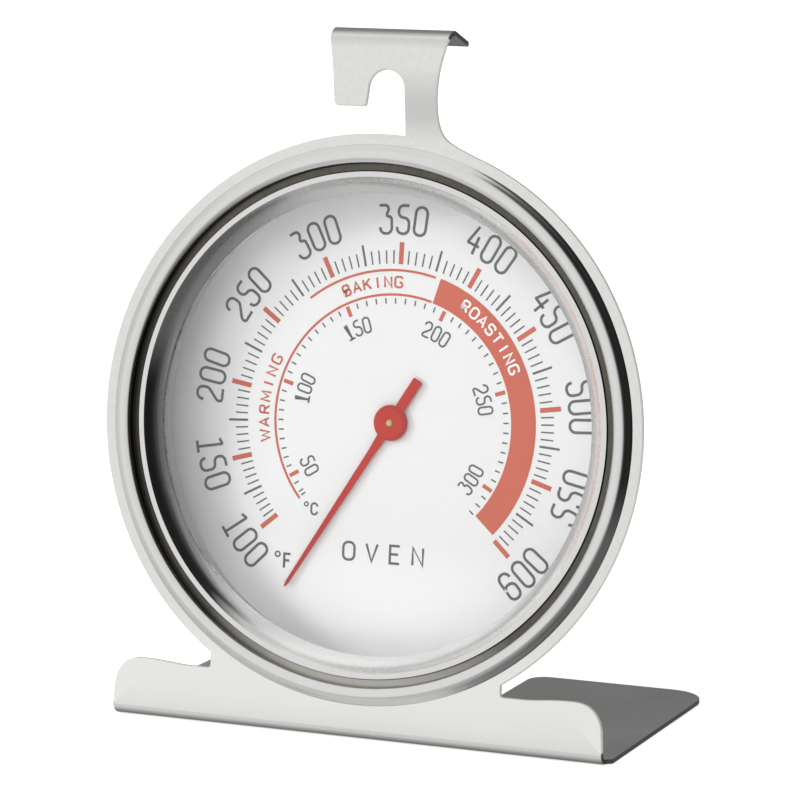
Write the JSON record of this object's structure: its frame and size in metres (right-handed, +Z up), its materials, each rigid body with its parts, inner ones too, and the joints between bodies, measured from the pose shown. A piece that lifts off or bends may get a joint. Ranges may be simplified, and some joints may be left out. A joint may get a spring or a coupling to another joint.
{
  "type": "oven thermometer",
  "caption": "Round bimetal dial oven thermometer in a stamped steel stand, with a rack hook on top, a folded foot and a pointer that sweeps over the dial.",
  "frame": {"origin": "middle of the foot's underside, on the table plane", "axes": "+Z up, +Y to the rear, -Y the way the dial faces, +X to the right of someone reading the dial"},
  "size_m": [0.094, 0.0524, 0.1142],
  "materials": {
    "satin_steel": "satin stainless sheet, fine horizontal grain",
    "polished_steel": "polished stainless bezel, faint turning lines",
    "case_steel": "bright drawn stainless steel",
    "lens_glass": "clear flat glass",
    "dial_white": "matt white enamel with printed grey and red scales",
    "pointer_red": "satin red enamel",
    "brass": "turned brass",
    "pin_steel": "ground steel",
    "bimetal": "rolled two-metal strip, one side warmer in colour"
  },
  "bodies": {
    "case": {"front_frame": "satin_steel", "bezel_ring": "polished_steel", "case_cup": "case_steel", "glass_lens": "lens_glass", "spacer_ring": "case_steel", "dial_plate": "dial_white", "front_bush": "brass", "front_thrust_washer": "pin_steel", "movement_bridge": "case_steel", "bridge_rivets": "pin_steel", "bimetal_coil": "bimetal", "coil_anchor_post": "brass", "anchor_pin": "pin_steel", "rear_thrust_washer": "pin_steel", "rear_bush": "brass"},
    "pointer_assembly": {"pointer": "pointer_red", "pointer_hub": "brass", "spindle": "pin_steel", "coil_collet": "brass", "retaining_clip": "pin_steel"}
  },
  "joints": [
    {"name": "pointer_turn", "type": "hinge", "parent": "case", "child": "pointer_assembly", "pos_m": [0, -0.01068, 0.04984], "axis": [0, 0.9947, -0.1031], "range_deg": [-18, 283], "deforming": ["bimetal_coil"]}
  ]
}
